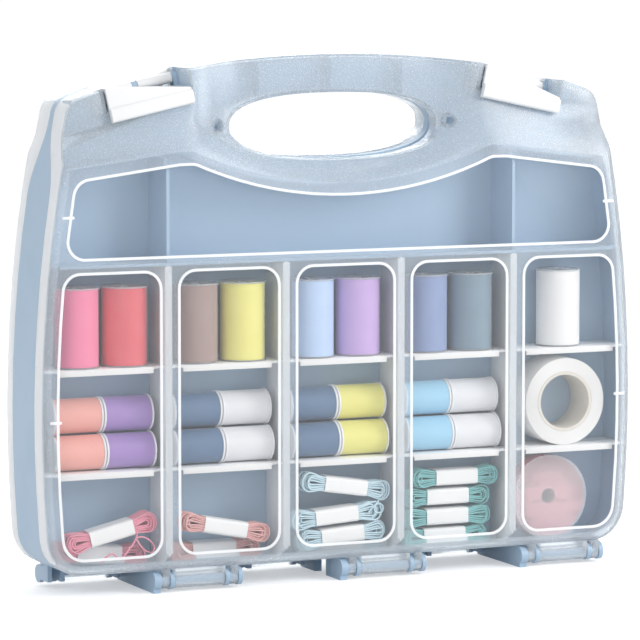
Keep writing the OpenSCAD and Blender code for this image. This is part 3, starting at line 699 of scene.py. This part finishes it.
def make_tape():
    facing_front = Matrix.Rotation(deg(90), 4, "X")
    low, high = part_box("tape_roll")
    outer, width = (high.x - low.x) / 2, high.y - low.y
    core_low, core_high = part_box("tape_core")
    bore = (core_high.x - core_low.x) / 2 + 0.03 * MM
    roll = turned("tape", layered_profile(outer, bore, 0, width, 15, 0.28 * MM), 96)
    roll.data.transform(at((low.x + high.x) / 2, high.y, (low.z + high.z) / 2) @ facing_front)
    smooth(roll, 50)
    dress(roll, "wound_tape", tape_finish("white_woven_tape", (0.88, 0.88, 0.87)), "tape", "case", "tape_roll")
    carved("tape_core", "card_tape_core", 0.25 * MM, card_finish("pale_card_tube", (0.72, 0.68, 0.62)),
           "tape_core_card", "case")
    low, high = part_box("pink_disc")
    outer, width = (high.x - low.x) / 2, high.y - low.y
    ribbon = turned("ribbon", layered_profile(outer, 4.52 * MM, 0, width, 24, 0.3 * MM), 96)
    ribbon.data.transform(at((low.x + high.x) / 2, high.y, (low.z + high.z) / 2) @ facing_front)
    smooth(ribbon, 50)
    dress(ribbon, "wound_ribbon", tape_finish("pink_satin_ribbon", (0.88, 0.38, 0.44), 0.0004),
          "pink_disc", "case", "pink_disc")


# Skeins of stranded cotton, each drawn in at the waist by a paper band

STRAND_RADIUS = 0.52 * MM
SKEIN_COLUMNS = {"pink_skeins": (-0.25, -0.11), "salmon_skeins": (-0.11, -0.0365),
                 "blue_skeins": (-0.0365, 0.0365), "teal_skeins": (0.0365, 0.11)}


def band_places():
    """Where the CAD model's paper bands lie: each one's middle and how far its right end rises."""
    places = []
    for part in loose_parts("skein_bands"):
        low, high = box_of(part)
        middle = (low + high) / 2
        rows = [(p.x - middle.x, p.z - middle.z) for p in part]
        spread_x = sum(x * x - z * z for x, z in rows)
        spread_xz = sum(2 * x * z for x, z in rows)
        places.append((middle, math.atan2(spread_xz, spread_x) / 2))
    return places


def eased(share):
    share = min(1, max(0, share))
    return share * share * (3 - 2 * share)


def skein_loop(waist_z, waist_y, bend, half, waist):
    """One loop of floss: two runs, close together under the band, that open out to a bend at each end."""
    run, turn = 13, 7
    phase = dice.uniform(0, 6.3)
    sway = dice.uniform(0.2, 1.1) * MM
    points = []
    for side in (1, -1):
        for i in range(run):
            x = side * half * (2 * i / run - 1)
            open_ = eased((abs(x) - waist) / (half - waist))
            z = side * (waist_z + (bend - waist_z) * open_)
            points.append((x, waist_y + sway * open_ * math.sin(phase + x * 160), z))
        for i in range(turn):
            a = math.pi * i / turn
            y = waist_y + sway * math.sin(phase + side * half * 160)
            points.append((side * (half + bend * 0.8 * math.sin(a)), y, side * bend * math.cos(a)))
    return [Vector(p) for p in points]


def rounded(points, closed, steps=2):
    """A Catmull-Rom curve through the points."""
    count = len(points)
    pick = (lambda i: points[i % count]) if closed else (lambda i: points[min(count - 1, max(0, i))])
    out = []
    for i in range(count if closed else count - 1):
        a, b, c, d = pick(i - 1), pick(i), pick(i + 1), pick(i + 2)
        for j in range(steps):
            t = j / steps
            out.append(0.5 * (2 * b + (c - a) * t + (2 * a - 5 * b + 4 * c - d) * t * t
                              + (3 * b - a - 3 * c + d) * t ** 3))
    return out if closed else out + [points[-1]]


def strand_mesh(name, paths, radius, sides=6):
    """Tubes along the paths, each (points, closed), with their length and girth as the UV map 'strand'."""
    spots, faces, uvs = [], [], []
    across_start = Vector((0, 1, 0))
    for points, closed in paths:
        count, start = len(points), len(spots)
        lengths = [0.0]
        for i in range(1, count + 1):
            lengths.append(lengths[-1] + (points[i % count] - points[i - 1]).length)
        for i, p in enumerate(points):
            after = points[(i + 1) % count] if closed or i < count - 1 else p
            before = points[i - 1] if closed or i > 0 else p
            ahead = (after - before).normalized()
            across = (across_start - across_start.dot(ahead) * ahead).normalized()
            up = ahead.cross(across)
            for j in range(sides):
                a = 2 * math.pi * j / sides
                spots.append(p + radius * (math.cos(a) * across + math.sin(a) * up))
        for i in range(count if closed else count - 1):
            for j in range(sides):
                a, b = start + i * sides, start + (i + 1) % count * sides
                k = (j + 1) % sides
                faces.append((a + j, b + j, b + k, a + k))
                u0, u1, v0, v1 = lengths[i], lengths[i + 1], j / sides, (j + 1) / sides
                uvs += [(u0, v0), (u1, v0), (u1, v1), (u0, v1)]
        if not closed:
            last = start + (count - 1) * sides
            faces.append(tuple(start + j for j in range(sides)))
            faces.append(tuple(last + j for j in reversed(range(sides))))
            uvs += [(0, 0)] * (2 * sides)
    mesh = bpy.data.meshes.new(name)
    mesh.from_pydata(spots, [], faces)
    layer = mesh.uv_layers.new(name="strand")
    layer.data.foreach_set("uv", [c for uv in uvs for c in uv])
    mesh.shade_smooth()
    piece = bpy.data.objects.new(name, mesh)
    bpy.context.scene.collection.objects.link(piece)
    settle(piece)
    return piece


def skein_paths(place):
    """All loops of one skein: nested rows, so that its ends are full."""
    middle, rise = place
    frame_ = Matrix.Translation(middle) @ Matrix.Rotation(-rise, 4, "Y")
    half, waist, rows, columns = 24.2 * MM, 14.5 * MM, 4, 10
    paths = []
    for row in range(rows):
        for column in range(columns):
            waist_z = (0.58 + row * 1.04) * MM
            waist_y = (column - (columns - 1) / 2) * 1.13 * MM
            bend = (1.5 + row * 1.22 + dice.uniform(-0.35, 0.35)) * MM
            reach = half - dice.uniform(0, 3.2) * MM
            points = skein_loop(waist_z, waist_y, bend, reach, waist)
            paths.append((rounded([frame_ @ p for p in points], True), True))
    return paths


# Loose ends in front of the skeins, as (x, y, z) in mm: a wavy end and a bow of pink, a curl of light blue
LOOSE_ENDS = {
    "pink_skeins": [
        ([(-151, -26.4, 19.6), (-147, -26.2, 22.6), (-143.5, -26.4, 24.4), (-140.6, -26.3, 22.2),
          (-138, -26.4, 21.2), (-134.5, -26.2, 24.6), (-131, -26.0, 28.4), (-128.4, -25.6, 32.4),
          (-127, -24, 36)], False),
        ([(-128.4, -26.0, 32.2), (-124.6, -26.4, 32.8), (-120.4, -26.2, 30.6), (-117.6, -26.4, 26.6),
          (-119.4, -26.4, 23.6), (-123.4, -26.2, 25.2), (-126.8, -26.3, 28.8)], True),
        ([(-128.2, -25.4, 31.4), (-125.8, -25.6, 27.8), (-123.6, -25.5, 24.4), (-122.6, -25.6, 20.8)], False)],
    "blue_skeins": [
        ([(17, -26.2, 38.4), (19.6, -26.4, 41.4), (23.2, -26.4, 43.6), (26.2, -26.3, 41.8),
          (25.4, -26.4, 38.6), (22, -26.4, 38.2), (20.8, -26.3, 41.0), (23.6, -26.2, 45.4)], False)],
}


def make_band(piece_name, length, half_height, half_depth, corner, thickness):
    """A paper band: a rounded outline drawn out along the skein and given its thickness."""
    fresh()
    bpy.ops.mesh.primitive_plane_add(size=1)
    band = bpy.context.object
    band.name = piece_name
    bpy.ops.object.mode_set(mode="EDIT")
    bpy.ops.mesh.select_all(action="SELECT")
    bpy.ops.transform.resize(value=(2 * half_height, 2 * half_depth, 1))
    bpy.ops.transform.translate(value=(0, 0, -length / 2))
    bpy.ops.mesh.bevel(offset=corner, segments=6, affect="VERTICES")
    bpy.ops.mesh.delete(type="ONLY_FACE")
    bpy.ops.mesh.select_all(action="SELECT")
    steps = 6
    for _ in range(steps):
        bpy.ops.mesh.extrude_edges_move(TRANSFORM_OT_translate={"value": (0, 0, length / steps)})
    bpy.ops.object.mode_set(mode="OBJECT")
    settle(band)
    modifier(band, "SOLIDIFY", thickness=thickness, offset=-1)
    settle(band)
    return band


def make_skeins():
    places = band_places()
    lay = Matrix.Rotation(deg(90), 4, "Y")
    master = make_band("band", 27 * MM, 4.7 * MM, 6.2 * MM, 2.0 * MM, 0.3 * MM)
    smooth(master, 40)
    bands = [copied(master, Matrix.Translation(m) @ Matrix.Rotation(-rise, 4, "Y") @ lay) for m, rise in places]
    bpy.data.objects.remove(master)
    dress(joined(bands), "paper_skein_bands", paper_finish("white_band_paper", (0.88, 0.88, 0.88)),
          "paper_band", "case", "skein_bands")
    for node, (left, right) in SKEIN_COLUMNS.items():
        paths = [path for place in places if left < place[0].x < right for path in skein_paths(place)]
        for points, closed in LOOSE_ENDS.get(node, []):
            paths.append((rounded([Vector(p) * MM for p in points], closed, 5), closed))
        piece = strand_mesh(f"floss_{node}", paths, STRAND_RADIUS)
        dress(piece, f"floss_{node}", floss_finish(f"floss_{node}", SKEIN_COLOURS[node]), node, "case", node)


make_camera()
make_studio()
make_case()
make_lid("front", -1)
make_lid("rear", 1)
make_tall_threads()
make_small_threads()
make_tape()
make_skeins()
